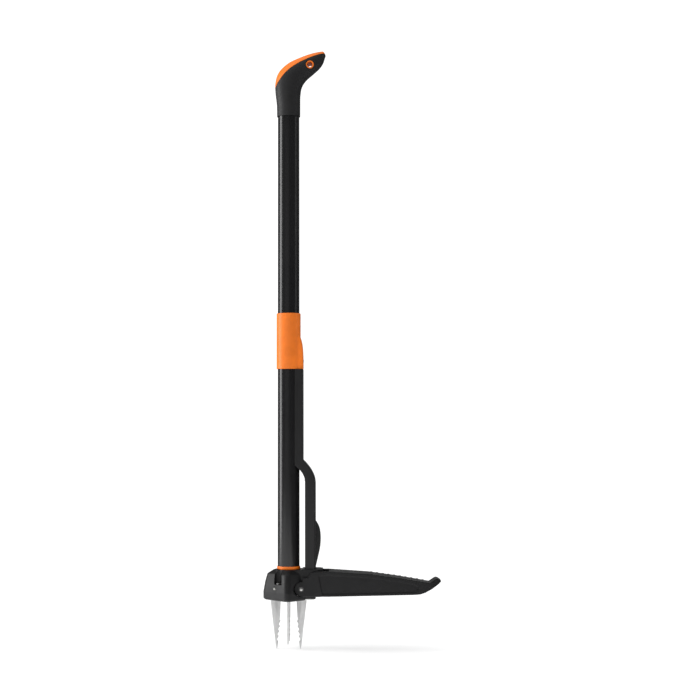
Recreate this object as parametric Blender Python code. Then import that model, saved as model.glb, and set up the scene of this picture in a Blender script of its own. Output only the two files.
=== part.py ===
"""Stand up weeder: a tube shaft with four claws, a foot pedal that closes them and a sliding ejector.

Run with: blender --background --python part.py   (Blender 4.5)
Metres, +Z up.  The origin is on the shaft's axis, on the underside of the head.
The pedal points to +X.  Everything is shown at rest: claws open, ejector up, pedal not pressed.
"""
import math

import bmesh
import bpy
from mathutils import Matrix, Vector

SIDES = (("front", -1), ("rear", 1))    # label and sign of Y

# ---------------------------------------------------------------- driving dimensions
GAP = 0.0003                    # clearance between pieces that touch

SHAFT_RADIUS = 0.0180
SHAFT_WALL = 0.0016
SHAFT_BOTTOM = 0.0318
SHAFT_TOP = 0.8515
SOCKET_RADIUS = SHAFT_RADIUS + GAP
RIVET_HEIGHT = 0.8150
RIVET_RADIUS = 0.0016
BOLT_RADIUS = 0.0025

HEAD_CORNER_RADIUS = 0.0080
HEAD_RINGS = ((0.0, 0.0392), (0.0025, 0.0417), (0.0130, 0.0417), (0.0300, 0.0386), (0.0417, 0.0352),
              (0.0434, 0.0334), (0.0492, 0.0242))     # height and half diagonal of the head's outside
CAVITY_HALF_DIAGONAL = 0.0368
CAVITY_CORNER_RADIUS = 0.0050
CAVITY_TOP = 0.0285
COLLAR_RADIUS = 0.0226
COLLAR_TOP = 0.0494
GUIDE_END = 0.0567              # far end of the block that guides the bar
GUIDE_HALF_WIDTH = 0.0194
GUIDE_BOTTOM = 0.0060
GUIDE_TOP = 0.0508
GUIDE_CORNER = 0.0100
TUNNEL_START = 0.0266
POCKET_SCREW = (-0.0152, 0.0189)    # |y| is mirrored for the second screw
POCKET_FLOOR = 0.0260
POCKET_RADIUS = 0.0050
POCKET_STRETCH = 0.0020         # how much further the pocket runs beside its screw
POCKET_SCREW_RADIUS = 0.0015
BASE_PLATE_BOTTOM = 0.0039
BASE_PLATE_TOP = 0.0089
BOSS_BOTTOM = BASE_PLATE_TOP + GAP

PIVOT_RADIUS = 0.0217           # distance of every claw's pin from the shaft's axis
PIVOT_HEIGHT = 0.0190
CLAW_THICKNESS = 0.0030
CLAW_SLOT = CLAW_THICKNESS / 2 + 0.0004     # half width of the slots the claws move in
LONG_CLAW = 0.0800              # reach of the west and east claws below the head
SHORT_CLAW = 0.0710             # reach of the north and south claws
TOOTH_PITCH = 0.0082
TOOTH_DEPTH = 0.0019
TOOTH_COUNT = 5
LOWEST_TOOTH = -0.0679
TOOTH_TIP_RADIUS = 0.0172       # distance of the lowest tooth's tip from the shaft's axis
EDGE_SLOPE = 0.125              # how fast the tips near that axis going up
PIN_RADIUS = 0.0020
SHORT_PIN_RADIUS = 0.0018
AXLE_RADIUS = 0.0018
AXLE_HEAD_RADIUS = 0.0025
LEVER_HUB_RADIUS = 0.0046
SPACER_RADIUS = 0.0040

DRIVER_BOTTOM = 0.0175
DRIVER_TOP = 0.0279
DRIVER_ROOF = 0.0034            # thickness of the driver above its spring
DRIVER_SPRING_RADIUS = 0.0074
DRIVER_RIM = 0.0092
CONE_RADIUS = 0.0139            # where the fingers touch the cone

SLEEVE_RADIUS = 0.0200
SLEEVE_BOTTOM = 0.3784
SLEEVE_TOP = 0.4710
TONGUE_HALF_WIDTH = 0.0090
TONGUE_INNER = 0.0203
TONGUE_OUTER = 0.0228
TONGUE_TOP = SLEEVE_BOTTOM + 0.0320
SLEEVE_SCREW_HEIGHT = SLEEVE_BOTTOM + 0.0130

BAR_HALF_WIDTH = 0.0154
BAR_FLANGE = 0.0025
BAR_WEB = 0.0022
BAR_CHAMFER = 0.0018            # on the two long outer edges
EDGE_SLANT = 0.0032             # how far the flanges' edges lean to follow the shaft
BAR_BOTTOM = 0.0020
BAR_TOP = SLEEVE_BOTTOM - 0.0004
BEND_STEPS = 9
BAR_LOW_FACE = 0.0446           # outer face of the bar beside the head
BAR_HIGH_FACE = 0.0244          # outer face of the bar where it lies on the shaft
BAR_LOW_EDGE = 0.0270           # inner edge of the flanges beside the head
BAR_HIGH_EDGE = 0.0102          # inner edge of the flanges where the bar lies on the shaft
FACE_BEND = (0.1900, 0.2285)    # where the outer face leaves its low line and meets its high line
EDGE_BEND = (0.1940, 0.2200)    # the same for the flanges' inner edge
TUNNEL_CLEARANCE = 0.0005
FIN_HALF_WIDTH = 0.0022
FIN_RIVET_HEIGHTS = (0.1080, 0.0760)
FIN_HOLE_RADIUS = 0.0014
PLATE_RIVET_HEIGHT = 0.0140
PLATE_RIVET_OFFSET = 0.0050     # |y| of the two rivets in the ejector plate's tab
PLATE_HOLE_RADIUS = 0.0019
PLATE_THICKNESS = 0.0035
PLATE_TAB_INNER = 0.0396

EAR_RADIUS = 0.0117
EAR_POCKET_RADIUS = 0.0123
EAR_POCKET_FLOOR = 0.0213       # |y| of the flat that each pedal ear turns against
EAR_INNER = 0.0216
EAR_OUTER = 0.0250
WASHER_RADIUS = 0.0042
WASHER_THICKNESS = 0.0008
TREAD_START = 0.0665            # where the pedal's top plate begins, behind the bar guide
TREAD_THICKNESS = 0.0038
RIB_PITCH = 0.0094
RIB_HEIGHT = 0.0006
RIB_COUNT = 10

HANDLE_BORE_TOP = SHAFT_TOP + GAP
HANG_HOLE = (0.0361, 0.8880)    # x and z of the hanging hole
GROMMET_RADIUS = 0.0067
GROMMET_BORE = 0.0046
GROMMET_HALF_LENGTH = 0.0171


# ---------------------------------------------------------------- materials
def material(name, colour, roughness, metallic=0.0):
    """A Principled material in one colour."""
    made = bpy.data.materials.new(name)
    made.use_nodes = True
    shader = made.node_tree.nodes["Principled BSDF"]
    shader.inputs["Base Color"].default_value = (*colour, 1.0)
    shader.inputs["Roughness"].default_value = roughness
    shader.inputs["Metallic"].default_value = metallic
    return made


# ---------------------------------------------------------------- shapes
def finish(bm, name, look):
    """Turns a bmesh into a named object whose faces point out."""
    bmesh.ops.remove_doubles(bm, verts=bm.verts[:], dist=1e-6)
    bmesh.ops.recalc_face_normals(bm, faces=bm.faces[:])
    mesh = bpy.data.meshes.new(name)
    bm.to_mesh(mesh)
    bm.free()
    mesh.shade_smooth()
    mesh.set_sharp_from_angle(angle=math.radians(35))
    made = bpy.data.objects.new(name, mesh)
    bpy.context.scene.collection.objects.link(made)
    if look is not None:
        mesh.materials.append(look)
    return made


def extruded(name, outline, low, high, axis, look=None):
    """Extrudes an outline of (u, v) points from low to high along axis.

    Along z, (u, v) is (x, y).  Along y it is (x, z).  Along x it is (y, z).
    """
    bm = bmesh.new()
    place = {"x": lambda u, v: (low, u, v), "y": lambda u, v: (u, low, v), "z": lambda u, v: (u, v, low)}
    face = bm.faces.new([bm.verts.new(place[axis](u, v)) for u, v in outline])
    moved = bmesh.ops.extrude_face_region(bm, geom=[face])
    step = {"x": (high - low, 0, 0), "y": (0, high - low, 0), "z": (0, 0, high - low)}[axis]
    verts = [item for item in moved["geom"] if isinstance(item, bmesh.types.BMVert)]
    bmesh.ops.translate(bm, verts=verts, vec=step)
    return finish(bm, name, look)


def block(name, x, y, z, look=None):
    """A box between the given limits, each a (low, high) pair."""
    outline = [(x[0], y[0]), (x[1], y[0]), (x[1], y[1]), (x[0], y[1])]
    return extruded(name, outline, z[0], z[1], "z", look)


def circle(centre, radius, count, start=0.0, turn=2 * math.pi):
    """Points along a circle, or along an arc when turn is under a full turn."""
    steps = count if abs(turn) > 6.28 else count - 1
    return [(centre[0] + radius * math.cos(start + turn * i / steps),
             centre[1] + radius * math.sin(start + turn * i / steps)) for i in range(count)]


def rod(name, centre, radius, low, high, axis, look=None, count=16):
    """A round rod along an axis; centre holds its place across that axis."""
    return extruded(name, circle(centre, radius, count), low, high, axis, look)


def turned(name, profile, look=None, count=40):
    """Spins a closed (radius, height) profile round Z."""
    bm = bmesh.new()
    verts = [bm.verts.new((radius, 0.0, height)) for radius, height in profile]
    edges = [bm.edges.new((verts[i], verts[(i + 1) % len(verts)])) for i in range(len(verts))]
    bmesh.ops.spin(bm, geom=verts + edges, cent=(0, 0, 0), axis=(0, 0, 1), angle=2 * math.pi, steps=count,
                   use_merge=True)
    bmesh.ops.remove_doubles(bm, verts=bm.verts[:], dist=1e-6)
    on_axis = [edge for edge in bm.edges if all(math.hypot(v.co.x, v.co.y) < 1e-7 for v in edge.verts)]
    bmesh.ops.delete(bm, geom=on_axis, context="EDGES")
    return finish(bm, name, look)


def lofted(name, rings, look=None):
    """Skins rings of equal length and closes both ends."""
    bm = bmesh.new()
    loops = [[bm.verts.new(point) for point in ring] for ring in rings]
    count = len(loops[0])
    for low, high in zip(loops, loops[1:]):
        for i in range(count):
            bm.faces.new((low[i], low[(i + 1) % count], high[(i + 1) % count], high[i]))
    bm.faces.new(loops[0])
    bm.faces.new(loops[-1])
    return finish(bm, name, look)


def turned_along(name, profile, origin, direction, look, count=14):
    """A turned piece whose profile axis starts at origin and runs along direction."""
    made = turned(name, profile, look, count)
    turn = Vector((0, 0, 1)).rotation_difference(Vector(direction)).to_matrix().to_4x4()
    made.matrix_world = Matrix.Translation(origin) @ turn
    return made


def boolean(target, other, operation):
    """Applies other to target as a live modifier and hides other as a guide."""
    other.hide_render = True
    other.display_type = "WIRE"
    step = target.modifiers.new(operation.title(), "BOOLEAN")
    step.operation = operation
    step.solver = "EXACT"
    step.object = other


def cut(target, *cutters):
    for cutter in cutters:
        boolean(target, cutter, "DIFFERENCE")


def join(target, *others):
    for other in others:
        boolean(target, other, "UNION")


def smooth_path(points, per_span):
    """Catmull-Rom points through the given ones, per_span to each stretch."""
    path = []
    last = len(points) - 1
    for i in range(last):
        before, start, end, after = (points[j] for j in (max(i - 1, 0), i, i + 1, min(i + 2, last)))
        for step in range(per_span):
            t = step / per_span
            path.append(tuple(
                0.5 * (2 * b + (c - a) * t + (2 * a - 5 * b + 4 * c - d) * t * t
                       + (3 * b - a - 3 * c + d) * t ** 3)
                for a, b, c, d in zip(before, start, end, after)))
    path.append(tuple(points[-1]))
    return path


def eased(t):
    """0 below 0 and 1 above 1; in between it leaves 0 gently and meets 1 at a corner."""
    return min(max(t, 0.0), 1.0) ** 2


def rounded_square(half_diagonal, corner_radius, steps=4):
    """A square with its corners on the X and Y axes, each corner rounded."""
    points = []
    for corner in range(4):
        middle = corner * math.pi / 2
        reach = half_diagonal - corner_radius
        centre = (reach * math.cos(middle), reach * math.sin(middle))
        points += circle(centre, corner_radius, steps + 1, middle - math.pi / 4, math.pi / 2)
    return points


# ---------------------------------------------------------------- shaft and handle
def shaft_tube(look):
    inner = SHAFT_RADIUS - SHAFT_WALL
    profile = [(inner, SHAFT_BOTTOM), (SHAFT_RADIUS, SHAFT_BOTTOM), (SHAFT_RADIUS, SHAFT_TOP),
               (inner, SHAFT_TOP)]
    tube = turned("shaft_tube", profile, look)
    cut(tube, rod("rivet_hole_in_tube", (0, RIVET_HEIGHT), RIVET_RADIUS + GAP, 0.010, 0.025, "y"))
    return tube


def handle_rivet(look):
    tip = 0.0145
    face = 0.0199
    profile = [(0, tip), (RIVET_RADIUS, tip), (RIVET_RADIUS, face), (0.0032, face), (0.0030, face + 0.0006),
               (0.0018, face + 0.0013), (0, face + 0.0015)]
    return turned_along("handle_rivet", profile, (0, 0, RIVET_HEIGHT), (0, 1, 0), look)


def shaft_plug(look):
    outer = SHAFT_RADIUS - SHAFT_WALL - GAP
    bore = BOLT_RADIUS + GAP
    top = 0.0580
    profile = [(bore, SHAFT_BOTTOM), (outer, SHAFT_BOTTOM), (outer, top - 0.0015), (outer - 0.0012, top),
               (bore, top)]
    return turned("shaft_plug", profile, look, 24)


def base_ring(look):
    inner = SHAFT_RADIUS + GAP
    outer = 0.0192
    low = COLLAR_TOP + GAP
    high = low + 0.0048
    profile = [(inner, low), (outer, low), (outer, high - 0.0008), (outer - 0.0006, high), (inner, high)]
    return turned("base_ring", profile, look)


# Back and front edges of the handle in the XZ plane, and its half width in Y, from the shaft to the nose.
HANDLE_BACK = ((-0.0195, 0.8025), (-0.0199, 0.8225), (-0.0222, 0.8430), (-0.0224, 0.8600), (-0.0169, 0.8776),
               (-0.0014, 0.8930), (0.0193, 0.9030), (0.0400, 0.9100), (0.0555, 0.9128))
HANDLE_FRONT = ((0.0195, 0.8025), (0.0196, 0.8225), (0.0199, 0.8380), (0.0225, 0.8525), (0.0296, 0.8638),
                (0.0415, 0.8743), (0.0522, 0.8840), (0.0585, 0.8935), (0.0616, 0.9035))
HANDLE_HALF_WIDTH = (0.0195, 0.0197, 0.0205, 0.0210, 0.0205, 0.0195, 0.0178, 0.0150, 0.0110)
NOSE_ROUNDING = ((0.0018, 0.80), (0.0026, 0.42))   # push along the handle and scale of the last rings
CAP_SEAM = ((-0.0300, 0.8391), (-0.0230, 0.8501), (-0.0173, 0.8590), (-0.0070, 0.8721), (0.0033, 0.8816),
            (0.0188, 0.8916), (0.0342, 0.8991), (0.0498, 0.9051), (0.0700, 0.9101))


def handle_blank(name, look=None):
    """The whole outside of the handle: rings that swing from level to upright."""
    back = smooth_path(HANDLE_BACK, 2)
    front = smooth_path(HANDLE_FRONT, 2)
    widths = [width for (width,) in smooth_path([(w,) for w in HANDLE_HALF_WIDTH], 2)]
    rings = []
    for (bx, bz), (fx, fz), width in zip(back, front, widths):
        middle = Vector(((bx + fx) / 2, 0, (bz + fz) / 2))
        reach = Vector(((fx - bx) / 2, 0, (fz - bz) / 2))
        rings.append([middle + reach * math.cos(a) + Vector((0, width * math.sin(a), 0))
                      for a in (2 * math.pi * i / 24 for i in range(24))])
    centre = sum(rings[-1], Vector()) / 24
    ahead = (centre - sum(rings[-2], Vector()) / 24).normalized()
    nose = rings[-1]
    for push, scale in NOSE_ROUNDING:
        rings.append([centre + ahead * push + (point - centre) * scale for point in nose])
    return lofted(name, rings, look)


def seam_prism(name, above, shift):
    """Everything above, or below, the seam between the grip and its cap."""
    seam = [(x, z + shift) for x, z in smooth_path(CAP_SEAM, 2)]
    far = 0.95 if above else 0.78
    outline = seam + [(seam[-1][0], far), (seam[0][0], far)]
    return extruded(name, outline, -0.04, 0.04, "y")


def handle_grip(look):
    grip = handle_blank("handle_grip", look)
    cut(grip,
        seam_prism("above_seam", True, 0.0),
        rod("handle_bore", (0, 0), SOCKET_RADIUS, 0.78, HANDLE_BORE_TOP, "z", count=40),
        rod("grommet_bore", HANG_HOLE, GROMMET_RADIUS + GAP, -0.04, 0.04, "y", count=24),
        rod("rivet_hole_in_grip", (0, RIVET_HEIGHT), RIVET_RADIUS + GAP, 0.010, 0.025, "y"))
    return grip


def handle_cap(look):
    cap = handle_blank("handle_cap", look)
    cut(cap, seam_prism("below_seam", False, GAP))
    return cap


def hang_grommet(look):
    half = GROMMET_HALF_LENGTH
    round_off = 0.0008
    front = [(GROMMET_BORE, -half + round_off), (GROMMET_BORE + 0.0006, -half),
             (GROMMET_RADIUS - round_off, -half), (GROMMET_RADIUS, -half + round_off)]
    profile = front + [(radius, -y) for radius, y in reversed(front)]
    return turned_along("hang_grommet", profile, (HANG_HOLE[0], 0, HANG_HOLE[1]), (0, 1, 0), look, 24)


# ---------------------------------------------------------------- head
def head_cavity():
    """The hollow under the head, with the bosses that carry pins and screws left standing."""
    cavity = extruded("head_cavity", rounded_square(CAVITY_HALF_DIAGONAL, CAVITY_CORNER_RADIUS), -0.001,
                      CAVITY_TOP, "z")
    for label, side in SIDES:
        screw = (POCKET_SCREW[0], side * POCKET_SCREW[1])
        cut(cavity,
            rod(f"screw_boss_{label}", screw, 0.0046, BOSS_BOTTOM, 0.03, "z"),
            block(f"pocket_floor_{label}", (-0.0240, -0.0075), sorted((side * 0.0132, side * 0.045)),
                  (0.0225, 0.03)),
            block(f"west_rib_{label}", (-0.0075, -0.0022), sorted((side * 0.0188, side * 0.045)),
                  (BOSS_BOTTOM, 0.03)),
            block(f"east_rib_{label}", (0.0022, 0.0300), sorted((side * 0.0185, side * 0.045)),
                  (BOSS_BOTTOM, 0.03)))
    return cavity


def screw_pocket(label, side):
    """A pocket for a screw, round at its inner corners and open to the head's outside."""
    x, y = POCKET_SCREW
    far = 0.045
    outline = circle(POCKET_SCREW, POCKET_RADIUS, 5, 0.0, -math.pi / 2)
    outline += circle((x - POCKET_STRETCH, y), POCKET_RADIUS, 5, -math.pi / 2, -math.pi / 2)
    outline += [(outline[-1][0], far), (outline[0][0], far)]
    return extruded(f"screw_pocket_{label}", [(u, side * v) for u, v in outline], POCKET_FLOOR, 0.06, "z")


def bar_guide():
    """The rounded block beside the head that the ejector bar slides through."""
    inside_head = 0.012
    right = GUIDE_END - GUIDE_CORNER
    top = GUIDE_HALF_WIDTH - GUIDE_CORNER
    outline = [(inside_head, -GUIDE_HALF_WIDTH)]
    outline += circle((right, -top), GUIDE_CORNER, 6, -math.pi / 2, math.pi / 2)
    outline += circle((right, top), GUIDE_CORNER, 6, 0.0, math.pi / 2)
    outline += [(inside_head, GUIDE_HALF_WIDTH)]
    return extruded("bar_guide", outline, GUIDE_BOTTOM, GUIDE_TOP, "z")


def head_housing(look):
    rings = [[(x, y, z) for x, y in rounded_square(reach, HEAD_CORNER_RADIUS)] for z, reach in HEAD_RINGS]
    head = lofted("head_housing", rings, look)
    tunnel_half_width = BAR_HALF_WIDTH + TUNNEL_CLEARANCE
    join(head,
         rod("socket_collar", (0, 0), COLLAR_RADIUS, 0.030, COLLAR_TOP, "z", count=40),
         bar_guide())
    cut(head,
        block("above_collar", (0.0, COLLAR_RADIUS), (-0.03, 0.03), (COLLAR_TOP, 0.06)),
        head_cavity(),
        rod("shaft_socket", (0, 0), SOCKET_RADIUS, SHAFT_BOTTOM - GAP, 0.06, "z", count=40),
        rod("bolt_bore", (0, 0), BOLT_RADIUS + GAP, CAVITY_TOP - 0.005, SHAFT_BOTTOM + 0.005, "z"),
        block("bar_tunnel", (TUNNEL_START, BAR_LOW_FACE + 0.0007), (-tunnel_half_width, tunnel_half_width),
              (-0.01, 0.06)),
        block("fin_slot", (BAR_LOW_FACE, 0.0546), (-0.0028, 0.0028), (-0.01, 0.06)),
        rod("hub_bore", (PIVOT_RADIUS, PIVOT_HEIGHT), LEVER_HUB_RADIUS + 0.0004, -0.03, 0.03, "y"),
        rod("west_pin_bore", (-PIVOT_RADIUS, PIVOT_HEIGHT), PIN_RADIUS + GAP, -0.03, 0.03, "y"))
    for label, side in SIDES:
        screw = (POCKET_SCREW[0], side * POCKET_SCREW[1])
        ear = (PIVOT_RADIUS, PIVOT_HEIGHT)
        cut(head,
            screw_pocket(label, side),
            rod(f"screw_bore_{label}", screw, POCKET_SCREW_RADIUS + GAP, 0.0, 0.03, "z"),
            rod(f"ear_pocket_{label}", ear, EAR_POCKET_RADIUS,
                *sorted((side * EAR_POCKET_FLOOR, side * 0.05)), "y", count=36),
            rod(f"short_pin_bore_{label}", (side * PIVOT_RADIUS, PIVOT_HEIGHT), SHORT_PIN_RADIUS + GAP,
                -0.0073, 0.0073, "x"))
    return head


def head_base_plate(look):
    """Closes the head's cavity from below, with a slot for each claw."""
    plate = extruded("head_base_plate", rounded_square(0.0363, CAVITY_CORNER_RADIUS), BASE_PLATE_BOTTOM,
                     BASE_PLATE_TOP, "z", look)
    over = (0.0, 0.02)
    cut(plate,
        block("east_trim", (0.0262, 0.05), (-0.05, 0.05), over),
        rod("plate_bolt_bore", (0, 0), BOLT_RADIUS + GAP, 0.0, 0.02, "z"),
        rod("plate_bolt_recess", (0, 0), 0.0052, 0.0, 0.0066, "z", count=24),
        block("slot_west_plate", (-0.0307, -0.0100), (-CLAW_SLOT, CLAW_SLOT), over),
        block("slot_east_plate", (0.0100, 0.0500), (-CLAW_SLOT, CLAW_SLOT), over))
    for label, side in SIDES:
        cut(plate,
            block(f"slot_plate_{label}", (-CLAW_SLOT, CLAW_SLOT), sorted((side * 0.0100, side * 0.0307)),
                  over),
            block(f"ear_trim_{label}", (0.0080, 0.05), sorted((side * 0.0210, side * 0.05)), over),
            rod(f"plate_screw_bore_{label}", (POCKET_SCREW[0], side * POCKET_SCREW[1]),
                POCKET_SCREW_RADIUS + GAP, 0.0, 0.02, "z"))
    return plate


def pan_screw(name, origin, direction, radius, head_radius, head_height, length, look):
    """A pan-head screw; origin is under its head and direction points from the head to the tip."""
    shank = [(0, length), (radius * 0.6, length), (radius, length - radius * 0.5), (radius, 0)]
    head = [(head_radius, 0), (head_radius, -head_height * 0.6), (head_radius * 0.75, -head_height),
            (0, -head_height)]
    return turned_along(name, shank + head, origin, direction, look)


def head_screw(label, side, look):
    origin = (POCKET_SCREW[0], side * POCKET_SCREW[1], POCKET_FLOOR + GAP)
    return pan_screw(f"head_screw_{label}", origin, (0, 0, -1), POCKET_SCREW_RADIUS, 0.0040, 0.0026, 0.0215,
                     look)


def centre_bolt(look):
    """Clamps the base plate and the head to the plug inside the shaft."""
    profile = [(0, 0.0040), (0.0045, 0.0040), (0.0048, 0.0046), (0.0048, 0.0063), (BOLT_RADIUS, 0.0063),
               (BOLT_RADIUS, 0.0525), (BOLT_RADIUS * 0.6, 0.0535), (0, 0.0535)]
    return turned("centre_bolt", profile, look, 24)


def claw_driver(look):
    """A cone on the centre bolt; the levers push its crossbar down and it spreads the claws' fingers."""
    bore = BOLT_RADIUS + 0.0004
    roof = DRIVER_TOP - DRIVER_ROOF
    profile = [(bore, DRIVER_TOP), (bore, roof), (DRIVER_SPRING_RADIUS, roof),
               (DRIVER_SPRING_RADIUS, DRIVER_BOTTOM), (DRIVER_RIM, DRIVER_BOTTOM), (DRIVER_RIM, 0.0200),
               (CONE_RADIUS - 0.00015, 0.0220), (CONE_RADIUS + 0.0007, DRIVER_TOP)]
    driver = turned("claw_driver", profile, look, 28)
    join(driver, block("driver_crossbar", (0.0026, 0.0060), (-0.0180, 0.0180), (DRIVER_BOTTOM, 0.0205)))
    cut(driver, rod("driver_spring_room", (0, 0), DRIVER_SPRING_RADIUS, 0.012, roof, "z", count=28))
    return driver


def return_spring(look):
    """A compression spring between the base plate and the driver."""
    turns, per_turn, sides, wire, radius = 4, 12, 5, 0.0007, 0.0052
    low = BASE_PLATE_TOP + wire + 0.0004
    high = DRIVER_TOP - DRIVER_ROOF - wire - 0.0004
    rings = []
    for i in range(turns * per_turn + 1):
        angle = 2 * math.pi * i / per_turn
        outward = Vector((math.cos(angle), math.sin(angle), 0))
        centre = outward * radius + Vector((0, 0, low + (high - low) * i / (turns * per_turn)))
        rings.append([centre + outward * wire * math.cos(a) + Vector((0, 0, wire * math.sin(a)))
                      for a in (2 * math.pi * k / sides for k in range(sides))])
    return lofted("return_spring", rings, look)


# ---------------------------------------------------------------- claws and their pins
def claw_outline(reach):
    """One claw in (radius, height): finger, pivot boss and toothed blade."""
    stretch = reach / LONG_CLAW
    top = [(0.0144, 0.0219), (0.0142, 0.0230), (0.0149, 0.0242), (0.0190, 0.0256), (0.0236, 0.0255),
           (0.0272, 0.0230), (0.0289, 0.0170), (0.0296, 0.0040)]
    outer = [(0.0294, -0.0040), (0.0262, -0.0330), (0.0223, -0.0650), (0.0211, -0.0745), (0.0199, -0.0800),
             (0.0192, -0.0800), (0.0182, -0.0770)]
    teeth = []
    for i in range(TOOTH_COUNT):
        height = LOWEST_TOOTH + i * TOOTH_PITCH
        tip = TOOTH_TIP_RADIUS - EDGE_SLOPE * i * TOOTH_PITCH
        root = tip + TOOTH_DEPTH
        teeth += [(tip, height), (root, height + 0.0014), (root - 0.0003, height + 0.0040)]
    inner = [(0.0141, -0.0250), (0.0132, -0.0040), (0.0127, 0.0040), (0.0136, 0.0115), (0.0163, 0.0165),
             (0.0162, 0.0195)]
    blade = [(r, z * stretch) for r, z in outer + teeth + inner[:2]]
    return top + blade + inner[2:]


def claw(name, heading, reach, look):
    """A flat claw standing in the vertical plane at the given heading, with its origin on its pin."""
    shape = [(r - PIVOT_RADIUS, z - PIVOT_HEIGHT) for r, z in claw_outline(reach)]
    made = extruded(name, shape, -CLAW_THICKNESS / 2, CLAW_THICKNESS / 2, "y", look)
    bore_radius = (SHORT_PIN_RADIUS if reach == SHORT_CLAW else AXLE_RADIUS) + GAP
    bore = rod(f"{name}_bore", (0, 0), bore_radius, -0.01, 0.01, "y")
    place = Matrix.Rotation(heading, 4, "Z") @ Matrix.Translation((PIVOT_RADIUS, 0, PIVOT_HEIGHT))
    for item in (made, bore):
        item.matrix_world = place
    cut(made, bore)
    return made


def pin(name, centre, radius, half_length, axis, look):
    """A plain pin across the shaft's axis, with chamfered ends."""
    chamfer = 0.0005
    profile = [(0, -half_length), (radius - chamfer, -half_length), (radius, -half_length + chamfer),
               (radius, half_length - chamfer), (radius - chamfer, half_length), (0, half_length)]
    direction = {"x": (1, 0, 0), "y": (0, 1, 0)}[axis]
    return turned_along(name, profile, centre, direction, look)


def spacer(name, x, side, pin_radius, far, look):
    """A bush that keeps a claw in the middle of its pin."""
    low, high = sorted((side * (CLAW_THICKNESS / 2 + GAP), side * far))
    bush = rod(name, (x, PIVOT_HEIGHT), SPACER_RADIUS, low, high, "y", look)
    cut(bush, rod(f"{name}_bore", (x, PIVOT_HEIGHT), pin_radius + GAP, -0.03, 0.03, "y"))
    return bush


def pedal_axle(look):
    """The axle of the pedal and the east claw: head at the front, groove for its clip at the rear."""
    rear = EAR_OUTER + WASHER_THICKNESS + 2 * GAP
    front = -rear
    groove = AXLE_RADIUS - 0.0005
    profile = [(0, front - 0.0013), (0.0012, front - 0.0012), (0.0023, front - 0.0008),
               (AXLE_HEAD_RADIUS, front), (AXLE_RADIUS, front), (AXLE_RADIUS, rear), (groove, rear),
               (groove, rear + 0.0014), (AXLE_RADIUS, rear + 0.0014), (AXLE_RADIUS, rear + 0.0022),
               (groove, rear + 0.0027), (0, rear + 0.0027)]
    return turned_along("pedal_axle", profile, (PIVOT_RADIUS, 0, PIVOT_HEIGHT), (0, 1, 0), look)


def axle_clip(look):
    """An open retaining clip in the axle's groove."""
    low = EAR_OUTER + WASHER_THICKNESS + 2 * GAP + 0.0002
    opening = math.radians(50)
    turn = 2 * math.pi - opening
    outline = circle((0, 0), 0.0042, 18, opening / 2, turn)
    outline += reversed(circle((0, 0), AXLE_RADIUS - 0.0002, 18, opening / 2, turn))
    placed = [(PIVOT_RADIUS + u, PIVOT_HEIGHT + v) for u, v in outline]
    return extruded("axle_clip", placed, low, low + 0.0010, "y", look)


def axle_washer(label, side, look):
    low, high = sorted((side * (EAR_OUTER + GAP), side * (EAR_OUTER + GAP + WASHER_THICKNESS)))
    centre = (PIVOT_RADIUS, PIVOT_HEIGHT)
    washer = rod(f"axle_washer_{label}", centre, WASHER_RADIUS, low, high, "y", look, 32)
    cut(washer, rod(f"axle_washer_bore_{label}", centre, AXLE_RADIUS + GAP, -0.04, 0.04, "y"))
    return washer


# ---------------------------------------------------------------- pedal
# Upper and lower edges of the pedal seen from the side, from the ears to the toe.
PEDAL_TOP = ((0.0240, 0.0368), (0.0335, 0.0380), (0.0375, 0.0452), (0.0480, 0.0478), (0.0660, 0.0479),
             (0.1310, 0.0440))
PEDAL_CURVE = ((0.1310, 0.0440), (0.1790, 0.0378), (0.2080, 0.0332), (0.2300, 0.0295))
PEDAL_TOE = ((0.2336, 0.0318), (0.2378, 0.0348), (0.2410, 0.0366), (0.2440, 0.0362), (0.2478, 0.0342),
             (0.2495, 0.0325), (0.2490, 0.0308), (0.2465, 0.0285), (0.2349, 0.0202), (0.2238, 0.0141),
             (0.2151, 0.0112))
PEDAL_BOTTOM = ((0.2050, 0.0105), (0.1790, 0.0100), (0.0660, 0.0071), (0.0460, 0.0071), (0.0340, 0.0074))
PEDAL_HALF_WIDTHS = ((-0.0100, 0.0250), (0.0900, 0.0250), (0.1400, 0.0238), (0.2000, 0.0218),
                     (0.2330, 0.0200), (0.2440, 0.0170), (0.2505, 0.0110))
CHEEK_RECESS = ((0.0560, 0.0107), (0.0500, 0.0400), (0.0660, 0.0420), (0.1310, 0.0381), (0.1790, 0.0319),
                (0.2060, 0.0275), (0.2140, 0.0215), (0.2060, 0.0143), (0.1790, 0.0135))
CHEEK_DEPTH = 0.0013
PEDAL_WEBS = (0.1050, 0.1430, 0.1810)


def pedal_top_height(x):
    """Height of the tread between its ribs."""
    for (x0, z0), (x1, z1) in zip(PEDAL_CURVE, PEDAL_CURVE[1:]):
        if x <= x1:
            return z0 + (z1 - z0) * (x - x0) / (x1 - x0)
    return PEDAL_CURVE[-1][1]


def tread_ribs():
    """Low ribs across the tread, as points of the pedal's side outline."""
    points = []
    for i in range(RIB_COUNT):
        start = PEDAL_CURVE[0][0] + 0.0030 + i * RIB_PITCH
        for along, rise in ((0.0, 0.0), (0.0009, RIB_HEIGHT), (0.0033, RIB_HEIGHT), (0.0042, 0.0)):
            points.append((start + along, pedal_top_height(start + along) + rise))
    return points


def pedal_side_outline():
    ear = circle((PIVOT_RADIUS, PIVOT_HEIGHT), EAR_RADIUS, 20, -math.pi / 2, -math.radians(190))
    return ear + list(PEDAL_TOP) + tread_ribs() + [PEDAL_CURVE[-1]] + list(PEDAL_TOE) + list(PEDAL_BOTTOM)


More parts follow.
